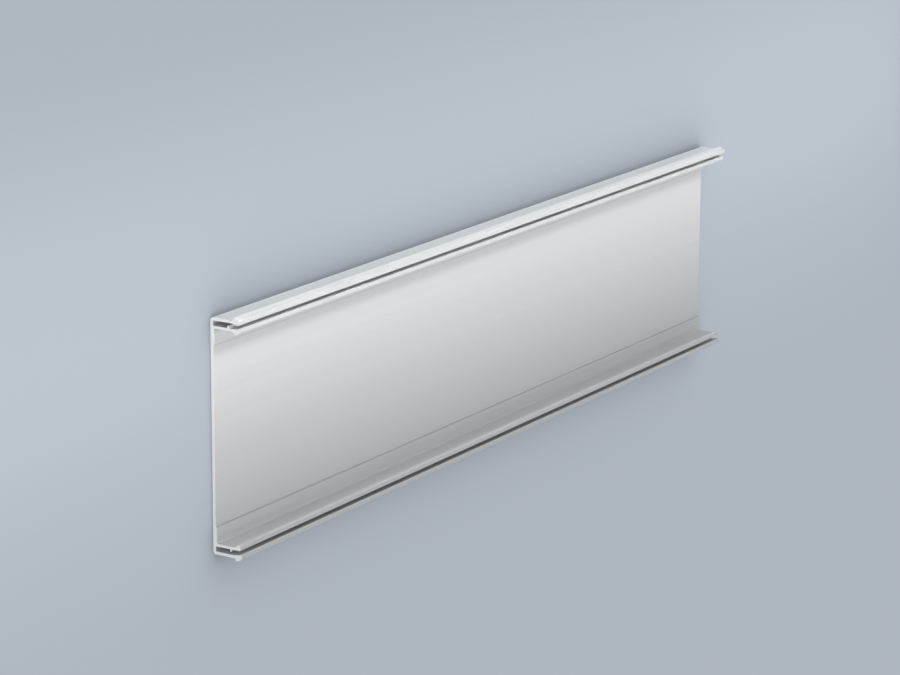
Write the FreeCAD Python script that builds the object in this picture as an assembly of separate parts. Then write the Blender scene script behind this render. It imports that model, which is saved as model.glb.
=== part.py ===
"""Base tray of a busbar system: one length of extruded rigid PVC channel, sawn square at both ends.

The tray lies on its back. X runs along the length, Y across the tray and Z up, out of the open side.
The origin is the middle of the back face. All sizes are in millimetres.

The section is the same on both sides. A flat web carries a double-walled flange on each edge. The two
walls of a flange leave a slot between them for a clip-on cover. The outer wall ends in a barbed head
outside and a ridge in the slot, and the inner wall has a tooth in the slot and a lip over the tray.
"""
import math
import os

import FreeCAD
import Part
from FreeCAD import Vector

# Overall sizes
LENGTH = 900.0
WIDTH = 215.0  # over the outer faces of the two outer walls, without the barbs
DEPTH = 30.5  # back face to the front of the outer walls

# Web, with a thicker band along each flange
WEB = 2.8
BAND_WIDTH = 15.6  # inner face of the inner wall to the foot of the step
BAND_RISE = 1.1
BAND_SLOPE = 0.15  # how far the step runs while it rises

# The two walls of a flange and the slot between them
OUTER_WALL = 2.7
SLOT = 4.8
INNER_WALL = 2.4
INNER_SETBACK = 1.5  # the inner wall ends this far behind the outer one

# Head of the outer wall: barb on the outside, ridge in the slot
HEAD = 7.2  # foot of the barb to the front
BARB = 2.9
BARB_LEAN = 1.3  # how far the barb's catch leans towards the front
NOSE = 0.3  # the front starts this far outside the outer face
RIDGE = 1.2
RIDGE_RUN = 8.5  # foot of the ridge to the front
RIDGE_LAND = 1.8  # flat top of the ridge, measured back from the front

# Tooth of the inner wall, in the slot
TOOTH = 2.2
TOOTH_SETBACK = 12.3  # the tooth's catch is this far behind the front of the outer wall
TOOTH_LAND = 1.2
TOOTH_SLOPE = 1.2  # how far the tooth's front runs while it falls to the slot's side

# Lip of the inner wall, over the tray
LIP = 2.6
LIP_LAND = 2.5
LIP_RUN = 5.6  # front of the inner wall to where the lip starts to rise

# Radii of the section
CORNER_RADIUS = 3.0  # back edges
ROOT_RADIUS = 0.9  # inside corners at the web
NOSE_RADIUS = 2.2  # outer wall, from the barb's ramp to the front
MOUTH_RADIUS = 0.6  # the two edges of the slot's mouth
LIP_RADIUS = 2.2  # inner wall, from its front to the lip
HOLLOW_RADIUS = 2.5  # under the lip
EDGE_RADIUS = 0.5  # all other edges
STEP_RADIUS = 0.2  # both bends of the band's step

NODE = "base_tray"
SIDE_SHARE = 0.9  # most of a side that one corner's arc may use


def flange_corners():
    """The corners of the right-hand half of the section, from the back edge round to the web's inner face.

    Each is (y, z, radius)."""
    outside = WIDTH / 2
    slot_outer = outside - OUTER_WALL
    slot_inner = slot_outer - SLOT
    tray_side = slot_inner - INNER_WALL
    band_foot = tray_side - BAND_WIDTH
    band_top = WEB + BAND_RISE
    barb_foot = DEPTH - HEAD
    ridge_top = slot_outer - RIDGE
    tooth_back = DEPTH - TOOTH_SETBACK
    tooth_front = tooth_back + TOOTH_LAND
    inner_front = DEPTH - INNER_SETBACK
    lip_edge = tray_side - LIP
    return [
        (outside, 0.0, CORNER_RADIUS),
        (outside, barb_foot, EDGE_RADIUS),
        (outside + BARB, barb_foot + BARB_LEAN, EDGE_RADIUS),
        (outside + NOSE, DEPTH, NOSE_RADIUS),
        (ridge_top, DEPTH, MOUTH_RADIUS),
        (ridge_top, DEPTH - RIDGE_LAND, EDGE_RADIUS),
        (slot_outer, DEPTH - RIDGE_RUN, EDGE_RADIUS),
        (slot_outer, WEB, ROOT_RADIUS),
        (slot_inner, WEB, ROOT_RADIUS),
        (slot_inner, tooth_back, EDGE_RADIUS),
        (slot_inner + TOOTH, tooth_back, EDGE_RADIUS),
        (slot_inner + TOOTH, tooth_front, EDGE_RADIUS),
        (slot_inner, tooth_front + TOOTH_SLOPE, EDGE_RADIUS),
        (slot_inner, inner_front, MOUTH_RADIUS),
        (lip_edge, inner_front, LIP_RADIUS),
        (lip_edge, inner_front - LIP_LAND, EDGE_RADIUS),
        (tray_side, inner_front - LIP_RUN, HOLLOW_RADIUS),
        (tray_side, band_top, ROOT_RADIUS),
        (band_foot + BAND_SLOPE, band_top, STEP_RADIUS),
        (band_foot, WEB, STEP_RADIUS),
    ]


def mirrored(corners):
    """The same corners on the other side of the middle plane, in the order that carries the outline on."""
    return [(-y, z, radius) for y, z, radius in reversed(corners)]


def rounded_wire(corners, x):
    """A closed wire in the plane at x, with a tangent arc at each corner no larger than its sides allow."""
    points = [Vector(x, y, z) for y, z, _ in corners]
    count = len(points)
    arcs = []
    for i, (_, _, radius) in enumerate(corners):
        before = points[i - 1] - points[i]
        after = points[(i + 1) % count] - points[i]
        half_turn = (math.pi - before.getAngle(after)) / 2
        shorter = min(before.Length, after.Length)
        reach = min(radius * math.tan(half_turn), SIDE_SHARE * shorter)
        radius_used = reach / math.tan(half_turn)
        before.normalize()
        after.normalize()
        inward = (before + after).normalize()
        crown = points[i] + inward * radius_used * (1 / math.cos(half_turn) - 1)
        arcs.append((points[i] + before * reach, crown, points[i] + after * reach))
    edges = []
    for i, (start, crown, end) in enumerate(arcs):
        edges.append(Part.Arc(start, crown, end).toShape())
        edges.append(Part.LineSegment(end, arcs[(i + 1) % count][0]).toShape())
    return Part.Wire(edges)


def base_tray():
    """The whole channel: its section carried along the length."""
    half = flange_corners()
    section = Part.Face(rounded_wire(half + mirrored(half), -LENGTH / 2))
    return section.extrude(Vector(LENGTH, 0, 0))


def main():
    os.makedirs("parts", exist_ok=True)
    tray = base_tray()
    tray.exportStep(f"parts/{NODE}.step")
    box = tray.BoundBox
    print(f"{NODE}: {box.XLength:.1f} x {box.YLength:.1f} x {box.ZLength:.1f} mm, "
          f"{tray.Volume / 1000:.1f} cm3, valid {tray.isValid()}, {len(tray.Faces)} faces")


main()
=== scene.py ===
# %% [markdown]
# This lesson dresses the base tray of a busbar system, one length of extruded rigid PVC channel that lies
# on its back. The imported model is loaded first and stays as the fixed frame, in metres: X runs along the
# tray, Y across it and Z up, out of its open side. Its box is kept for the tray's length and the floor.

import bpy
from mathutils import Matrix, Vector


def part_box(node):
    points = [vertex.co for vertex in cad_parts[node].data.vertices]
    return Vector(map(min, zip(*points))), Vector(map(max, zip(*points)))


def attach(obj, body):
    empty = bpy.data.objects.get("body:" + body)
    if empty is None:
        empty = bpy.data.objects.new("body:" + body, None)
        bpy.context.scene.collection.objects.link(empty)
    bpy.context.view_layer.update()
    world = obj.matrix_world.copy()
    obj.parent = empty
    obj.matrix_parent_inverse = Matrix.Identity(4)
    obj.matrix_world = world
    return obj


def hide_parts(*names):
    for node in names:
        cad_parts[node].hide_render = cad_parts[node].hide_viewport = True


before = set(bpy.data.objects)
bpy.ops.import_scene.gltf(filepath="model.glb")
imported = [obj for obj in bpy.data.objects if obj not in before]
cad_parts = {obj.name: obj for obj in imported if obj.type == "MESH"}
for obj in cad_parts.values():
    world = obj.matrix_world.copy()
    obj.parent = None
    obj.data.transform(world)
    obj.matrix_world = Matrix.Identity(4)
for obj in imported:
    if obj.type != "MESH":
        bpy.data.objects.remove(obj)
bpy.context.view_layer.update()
tray_low, tray_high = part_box("base_tray")
tray_length = tray_high.x - tray_low.x
print("packed tray, mm:", [round(1000 * side, 1) for side in tray_high - tray_low])

# %% [markdown]
# The real tray is pressed hot through a steel die, cooled, and sawn to length, so it has one section from
# end to end. The section could be drawn again from its corners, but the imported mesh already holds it. A
# copy of that mesh is merged and everything but one sawn end is taken away. What stays is the section, and
# dissolving its triangles makes it one face.

# %% Keep one sawn end of a copy
import bmesh

MERGE = 1e-6  # metres, far under the shortest edge

profile = bmesh.new()
profile.from_mesh(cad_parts["base_tray"].data)
bmesh.ops.remove_doubles(profile, verts=profile.verts, dist=MERGE)
past_the_end = [f for f in profile.faces if max(v.co.x for v in f.verts) > tray_low.x + MERGE]
bmesh.ops.delete(profile, geom=past_the_end, context="FACES")
section = bmesh.ops.dissolve_faces(profile, faces=profile.faces)["region"][0]
print("section:", len(section.verts), "corners,", round(1e6 * section.calc_area()), "mm2")

# %% [markdown]
# Now the section is drawn out along X, as the extruder does. Blender's own extrude would do that too, but it
# leaves the side faces in another order each run, so they are made one by one around the section. The drawn
# length is a little short at both ends, which leaves room for the rims that come next.

# %% Draw the section out
from mathutils import Vector

RIM = 0.00018  # width of the scraped flat along each sawn edge

bmesh.ops.translate(profile, verts=profile.verts, vec=Vector((RIM, 0, 0)))
drawn_length = Vector((tray_length - 2 * RIM, 0, 0))
near_corners = list(section.verts)
far_corners = [profile.verts.new(corner.co + drawn_length) for corner in near_corners]
profile.faces.new(far_corners)
for i in range(len(near_corners)):
    profile.faces.new((near_corners[i - 1], near_corners[i], far_corners[i], far_corners[i - 1]))
bmesh.ops.recalc_face_normals(profile, faces=profile.faces)
print("drawn out:", round(1000 * drawn_length.x, 2), "mm with", len(profile.faces), "faces")

# %% [markdown]
# A fresh saw cut has a sharp rim, which is scraped so that it cuts nobody, and that narrow flat catches the
# light. A bevel would trip over the small radii of the section, so an inset pushes each end out to the full
# length instead.

# %% Scrape the rims
ALONG_X = 0.99  # a face whose normal has at least this much of X is a sawn end
SAW_CUT_SLOT = 1  # the skin has slot 0

sawn_ends = [f for f in profile.faces if abs(f.normal.x) > ALONG_X]
rims = bmesh.ops.inset_region(
    profile, faces=sawn_ends, thickness=RIM, depth=RIM, use_even_offset=True)["faces"]
for face in profile.faces:
    face.smooth = True
for face in sawn_ends + rims:
    face.material_index = SAW_CUT_SLOT
print("tray:", len(sawn_ends), "ends,", len(rims), "rim faces,", len(profile.faces), "faces in all")

# %% [markdown]
# The bmesh becomes an object that rides on the tray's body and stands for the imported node. The arcs of the
# section are shaded round and its edges sharp. Weighted normals let the wide flat faces keep their own
# direction, so that no shade leaks from the small arcs over the web.

# %% Make the tray object
import math

import bpy

ROUND_BELOW = math.radians(30)  # the arcs turn by less than this from face to face
FULL_WEIGHT = 100  # the largest face at a corner decides the normal there

tray_mesh = bpy.data.meshes.new("extruded_tray")
profile.to_mesh(tray_mesh)
profile.free()
tray_mesh.set_sharp_from_angle(angle=ROUND_BELOW)
tray = bpy.data.objects.new("extruded_tray", tray_mesh)
bpy.context.scene.collection.objects.link(tray)
flat_faces_rule = tray.modifiers.new("flat_faces_rule", "WEIGHTED_NORMAL")
flat_faces_rule.weight = FULL_WEIGHT
flat_faces_rule.keep_sharp = True
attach(tray, "root")
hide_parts("base_tray")
print("made", tray.name, "with", len(tray_mesh.vertices), "vertices")

# %% [markdown]
# Colours are written as sRGB hex, as a colour picker shows them, and Blender's nodes want linear values, so
# one function turns them. A second one adds a node with its settings, its values and its links, which keeps
# each finish short enough to read as a list.

# %% Helpers for finishes
def linear(hex_code):
    """Linear colour with alpha for an sRGB hex code such as #CBCCCB."""
    parts = [int(hex_code[i:i + 2], 16) / 255 for i in (1, 3, 5)]
    return [c / 12.92 if c <= 0.04045 else ((c + 0.055) / 1.055) ** 2.4 for c in parts] + [1.0]


def add_node(tree, kind, settings=(), values=(), links=()):
    """Adds one shader node, sets its properties and its socket values, and links sources to its sockets."""
    node = tree.nodes.new("ShaderNode" + kind)
    for name, setting in dict(settings).items():
        setattr(node, name, setting)
    for socket, value in dict(values).items():
        node.inputs[socket].default_value = value
    for socket, source in dict(links).items():
        tree.links.new(source, node.inputs[socket])
    return node


def new_finish(name):
    """An empty node material, its tree and its output node."""
    material = bpy.data.materials.new(name)
    material.use_nodes = True
    material.node_tree.nodes.clear()
    return material, material.node_tree, add_node(material.node_tree, "OutputMaterial")


print("light grey of the tray, linear:", [round(c, 3) for c in linear("#CBCCCB")[:3]])

# %% [markdown]
# Rigid PVC comes out of the die with a satin skin in a light, neutral grey. The die leaves fine lines that
# run the whole length, and some lanes come out a touch glossier or paler than their neighbours. Both are
# noise that is stretched along X, and added up they make streaks around zero. The streaks are stronger on
# the bands and flanges, where the plastic is thicker, than on the wide web, which is nearly even.

# %% Streaks of the die
MM = 0.001
DIE_LINE = 1.3 * MM  # true die lines are finer, but would not show in the render
LANE = 9 * MM  # width of a paler or glossier lane
LINE_RUN = 900 * MM  # length over which a line fades or comes back
WEB_HALF = 82 * MM  # the bands begin here
BAND_BLEND = 3 * MM  # the streaks gain strength from this far before a band's edge to this far past it
WEB_STREAKS = 0.3  # their strength on the web, where 1 is that on the flanges

pvc, tree, output = new_finish("rigid_pvc_extruded_satin")
place = add_node(tree, "TexCoord").outputs["Object"]
line_grid = add_node(tree, "VectorMath", {"operation": "MULTIPLY"},
                     {1: (1 / LINE_RUN, 1 / DIE_LINE, 1 / DIE_LINE)}, {0: place})
die_lines = add_node(tree, "TexNoise", values={"Scale": 1.0, "Detail": 2.0, "Roughness": 0.6},
                     links={"Vector": line_grid.outputs["Vector"]})
lane_grid = add_node(tree, "VectorMath", {"operation": "MULTIPLY"},
                     {1: (1 / LINE_RUN, 1 / LANE, 1 / LANE)}, {0: place})
lanes = add_node(tree, "TexNoise", values={"Scale": 1.0, "Detail": 3.0, "Roughness": 0.55},
                 links={"Vector": lane_grid.outputs["Vector"]})
across = add_node(tree, "SeparateXYZ", links={"Vector": place})
from_middle = add_node(tree, "Math", {"operation": "ABSOLUTE"}, links={0: across.outputs["Y"]})
on_flanges = add_node(tree, "MapRange",
                      values={"From Min": WEB_HALF - BAND_BLEND, "From Max": WEB_HALF + BAND_BLEND,
                              "To Min": WEB_STREAKS, "To Max": 1.0},
                      links={"Value": from_middle.outputs["Value"]})
both = add_node(tree, "Math", {"operation": "ADD"},
                links={0: lanes.outputs["Fac"], 1: die_lines.outputs["Fac"]})
about_zero = add_node(tree, "Math", {"operation": "SUBTRACT"}, {1: 1.0}, {0: both.outputs["Value"]})
streaks = add_node(tree, "Math", {"operation": "MULTIPLY"},
                   links={0: about_zero.outputs["Value"], 1: on_flanges.outputs["Result"]}).outputs["Value"]
print("streaks:", len(tree.nodes), "nodes, die lines", round(DIE_LINE / MM, 1), "mm apart")

# %% [markdown]
# The streaks pick the tone and the gloss, so a paler lane is also a little duller. A fine darker line along
# the edge of each band is painted shade, laid into the colour. It could be a face with a colour of its own,
# but a comparison finds it from the distance to the middle, and the height keeps it off the back.

# %% Tone, painted shade and gloss of the skin
STREAK_REACH = 0.3  # a streak this far from zero has an end tone
DARK_STREAK = "#C4C5C4"
PALE_STREAK = "#D2D3D2"
GLOSSY_STREAK = 0.37  # roughness, typical for satin plastic
DULL_STREAK = 0.44
STEP_SHADE_WIDTH = 0.9 * MM  # width of the painted shade line; the real shaded line is finer, but would not show in the render
# painted shade: the darker colour laid along the foot of each band's step
STEP_SHADE_TONE = "#B3B4B3"
INSIDE = 2 * MM  # the web's inner face is above this height

shade = add_node(tree, "MapRange", values={"From Min": -STREAK_REACH, "From Max": STREAK_REACH},
                 links={"Value": streaks})
tone = add_node(tree, "ValToRGB", links={"Fac": shade.outputs["Result"]})
tone.color_ramp.elements[0].color = linear(DARK_STREAK)
tone.color_ramp.elements[1].color = linear(PALE_STREAK)
# Painted shade: this mask finds the line along each band's step on the inner face, and the mix darkens the
# colour there.
beside_step_shade = add_node(tree, "Math", {"operation": "COMPARE"},
                       {1: WEB_HALF + STEP_SHADE_WIDTH / 2, 2: STEP_SHADE_WIDTH / 2}, {0: from_middle.outputs["Value"]})
inside = add_node(tree, "Math", {"operation": "GREATER_THAN"}, {1: INSIDE}, {0: across.outputs["Z"]})
on_step_shade = add_node(tree, "Math", {"operation": "MULTIPLY"},
                   links={0: beside_step_shade.outputs["Value"], 1: inside.outputs["Value"]})
tone_with_step_shade = add_node(tree, "MixRGB", values={"Color2": linear(STEP_SHADE_TONE)},
                      links={"Fac": on_step_shade.outputs["Value"], "Color1": tone.outputs["Color"]})
gloss = add_node(tree, "MapRange", values={"From Min": -STREAK_REACH, "From Max": STREAK_REACH,
                                           "To Min": GLOSSY_STREAK, "To Max": DULL_STREAK},
                 links={"Value": streaks})
print("tones", DARK_STREAK, "to", PALE_STREAK, "with", STEP_SHADE_TONE, "along the bands")

# %% [markdown]
# Close up, the skin isn't quite flat. The die lines are very low ridges, and between them the plastic has
# set a little unevenly. Both are far too low to change an outline, so bump is enough, and they break up the
# reflections as on the real skin. One bump is laid over the other through its normal.

# %% Extruded satin PVC
PVC_IOR = 1.53
DIE_LINE_HEIGHT = 0.006 * MM
PEEL = 2.2 * MM  # soft unevenness of the skin
PEEL_HEIGHT = 0.004 * MM

peel = add_node(tree, "TexNoise", values={"Scale": 1 / PEEL, "Detail": 1.0}, links={"Vector": place})
peel_bump = add_node(tree, "Bump", values={"Strength": 1.0, "Distance": PEEL_HEIGHT},
                     links={"Height": peel.outputs["Fac"]})
line_relief = add_node(tree, "Math", {"operation": "MULTIPLY"},
                       links={0: die_lines.outputs["Fac"], 1: on_flanges.outputs["Result"]})
line_bump = add_node(tree, "Bump", values={"Strength": 1.0, "Distance": DIE_LINE_HEIGHT},
                     links={"Height": line_relief.outputs["Value"], "Normal": peel_bump.outputs["Normal"]})
skin = add_node(tree, "BsdfPrincipled", values={"IOR": PVC_IOR},
                links={"Base Color": tone_with_step_shade.outputs["Color"], "Roughness": gloss.outputs["Result"],
                       "Normal": line_bump.outputs["Normal"]})
tree.links.new(skin.outputs["BSDF"], output.inputs["Surface"])
tray_mesh.materials.append(pvc)
print("finish:", pvc.name, "with", len(tree.nodes), "nodes")

# %% [markdown]
# A saw tears the plastic a little, so a cut end is paler and duller than the skin, and each pass of the
# blade leaves an arc. The arcs are rings around a point off the tray where the blade's shaft would be.
# They are drawn wider apart than a fine blade leaves them, because nothing of them would show otherwise.

# %% Saw-cut PVC
SAW_MARK = 1.1 * MM  # from one arc to the next
SAW_MARK_DEPTH = 0.02 * MM
BLADE_SHAFT = (0.0, -40 * MM, -150 * MM)
RINGS_PER_UNIT = 20 / (2 * math.pi)  # the wave texture turns this often per unit at a scale of 1

saw_cut, tree, output = new_finish("rigid_pvc_saw_cut")
place = add_node(tree, "TexCoord").outputs["Object"]
from_shaft = add_node(tree, "VectorMath", {"operation": "SUBTRACT"}, {1: BLADE_SHAFT}, {0: place})
marks = add_node(tree, "TexWave", {"wave_type": "RINGS", "rings_direction": "X"},
                 {"Scale": 1 / (SAW_MARK * RINGS_PER_UNIT), "Distortion": 2.0, "Detail": 2.0},
                 {"Vector": from_shaft.outputs["Vector"]})
tone = add_node(tree, "ValToRGB", links={"Fac": marks.outputs["Fac"]})
tone.color_ramp.elements[0].color = linear("#D9DAD9")
tone.color_ramp.elements[1].color = linear("#E3E4E3")
mark_bump = add_node(tree, "Bump", values={"Strength": 1.0, "Distance": SAW_MARK_DEPTH},
                     links={"Height": marks.outputs["Fac"]})
cut = add_node(tree, "BsdfPrincipled", values={"IOR": PVC_IOR, "Roughness": 0.62},
               links={"Base Color": tone.outputs["Color"], "Normal": mark_bump.outputs["Normal"]})
tree.links.new(cut.outputs["BSDF"], output.inputs["Surface"])
tray_mesh.materials.append(saw_cut)
print("finish:", saw_cut.name, "with", len(tree.nodes), "nodes")

# %% [markdown]
# The tray lies on a plain pale floor, a wide round sheet just under its back. A plane would do as well, but
# a round sheet shows no corner from any side. The floor isn't part of the object.

# %% Floor sheet
FLOOR_RADIUS = 7.0
FLOOR_SIDES = 96
FLOOR_GAP = 0.1 * MM  # the sheet is this far under the tray, so that their faces don't flicker

floor_shape = bmesh.new()
bmesh.ops.create_circle(floor_shape, cap_ends=True, radius=FLOOR_RADIUS, segments=FLOOR_SIDES)
bmesh.ops.translate(floor_shape, verts=floor_shape.verts, vec=Vector((0, 0, tray_low.z - FLOOR_GAP)))
bmesh.ops.recalc_face_normals(floor_shape, faces=floor_shape.faces)
floor_mesh = bpy.data.meshes.new("floor")
floor_shape.to_mesh(floor_mesh)
floor_shape.free()
floor = bpy.data.objects.new("floor", floor_mesh)
bpy.context.scene.collection.objects.link(floor)
print("floor at", round(floor_mesh.vertices[0].co.z / MM, 2), "mm")

# %% [markdown]
# The paper is a pale grey blue, so that the light grey tray stands out from it. The lamps below have narrow
# beams and would leave a bright lane on it, so most of what the camera sees of the paper is an even tone of
# its own. A tone like that takes no shadow, so it is dimmed where the tray hides the sky above the paper.
# The rest of the paper takes the light as any paper does.

# %% Matt floor paper
EVEN_SHARE = 0.7  # how much of the paper, as it is seen, is the even tone
SHADOW_REACH = 0.3  # what is further off than this hides no sky
SHADOW_SAMPLES = 8

paper, tree, output = new_finish("matt_floor_paper")
ray = add_node(tree, "LightPath").outputs
seen = add_node(tree, "Math", {"operation": "ADD"},
                links={0: ray["Is Camera Ray"], 1: ray["Is Glossy Ray"]})
seen = add_node(tree, "Math", {"operation": "ADD"},
                links={0: seen.outputs["Value"], 1: ray["Is Transmission Ray"]})
even_share = add_node(tree, "Math", {"operation": "MULTIPLY"}, {1: EVEN_SHARE}, {0: seen.outputs["Value"]})
lit_paper = add_node(tree, "BsdfPrincipled", values={"Base Color": linear("#A4ACB5"), "Roughness": 0.9})
shaded_tone = add_node(tree, "AmbientOcclusion", {"samples": SHADOW_SAMPLES},
                       {"Color": linear("#BEC6CF"), "Distance": SHADOW_REACH})
even_tone = add_node(tree, "Emission", links={"Color": shaded_tone.outputs["Color"]})
sheet = add_node(tree, "MixShader", links={"Fac": even_share.outputs["Value"], 1: lit_paper.outputs["BSDF"],
                                           2: even_tone.outputs["Emission"]})
tree.links.new(sheet.outputs["Shader"], output.inputs["Surface"])
floor_mesh.materials.append(paper)
print("finish:", paper.name, "with", len(tree.nodes), "nodes")

# %% [markdown]
# Two strip lamps with grids, which narrow their beams, make the tray brightest along one side, and their
# light falls off over the web as in the picture. One hangs overhead. The other stands further out, so that
# the lip throws a soft shadow on the band below it. A low strip reaches only the outer wall, a soft box off
# the near end brings out the sawn edges, and an even sky fills the rest. The camera doesn't see the lamps
# themselves.

# %% Studio light
def soft_box(name, place, aim, width, height, watts, spread=180):
    """A rectangular lamp at a place, aimed at a point, its width level. A grid narrows its spread."""
    lamp = bpy.data.lights.new(name, "AREA")
    lamp.shape = "RECTANGLE"
    lamp.size = width
    lamp.size_y = height
    lamp.energy = watts
    lamp.spread = math.radians(spread)
    box = bpy.data.objects.new(name, lamp)
    box.location = place
    box.rotation_euler = (Vector(aim) - Vector(place)).to_track_quat("-Z", "Y").to_euler()
    box.visible_camera = False
    bpy.context.scene.collection.objects.link(box)
    return box


# Name, place, aim, width, height and watts
boxes = [
    soft_box("overhead_strip", (0.0, 0.10, 0.9), (0, 0.10, 0), 2.0, 0.10, 0.77, spread=34),
    soft_box("side_strip", (0.0, 0.46, 0.36), (0, 0.15, 0), 2.0, 0.20, 0.53, spread=20),
    soft_box("low_strip", (0.0, 2.40, 0.16), (0, 0.107, 0.015), 2.4, 0.16, 14.0),
    soft_box("end_box", (-2.6, 0.2, 0.16), (-0.45, 0, 0.015), 0.8, 0.24, 20.0),
]
sky = bpy.data.worlds.new("even_sky")
sky.use_nodes = True
sky.node_tree.nodes["Background"].inputs["Color"].default_value = linear("#E8EAEE")
sky.node_tree.nodes["Background"].inputs["Strength"].default_value = 0.68
bpy.context.scene.world = sky
bpy.context.scene.view_settings.view_transform = "Standard"
print("lamps:", [box.name for box in boxes])

# %% [markdown]
# The camera sees the tray as the picture does. There it stands on edge, and here it lies on its back, so the
# camera looks down on it from beyond the near end and is rolled until the tray runs across the frame as it
# does there. The lens is long, because lines along the tray hardly run together.

# %% Camera
from mathutils import Matrix

CAMERA_PLACE = Vector((-2.6829, 0.8094, 1.6410))
CAMERA_LOOK = Vector((0.8205, -0.2519, -0.5132)).normalized()
CAMERA_TOP = Vector((0.2110, 0.9677, -0.1376))
FOCAL_MM = 132.15

lens = bpy.data.cameras.new("studio_camera")
lens.sensor_width = 36.0
lens.lens = FOCAL_MM
camera = bpy.data.objects.new("studio_camera", lens)
camera_right = CAMERA_LOOK.cross(CAMERA_TOP).normalized()
camera_turn = Matrix((camera_right, camera_right.cross(CAMERA_LOOK), -CAMERA_LOOK)).transposed()
camera.matrix_world = Matrix.Translation(CAMERA_PLACE) @ camera_turn.to_4x4()
bpy.context.scene.collection.objects.link(camera)
bpy.context.scene.camera = camera
print("camera is", round(CAMERA_PLACE.length, 2), "m from the middle of the tray")

# %% [markdown]
# Last, the scene is brought up to date.

bpy.context.view_layer.update()
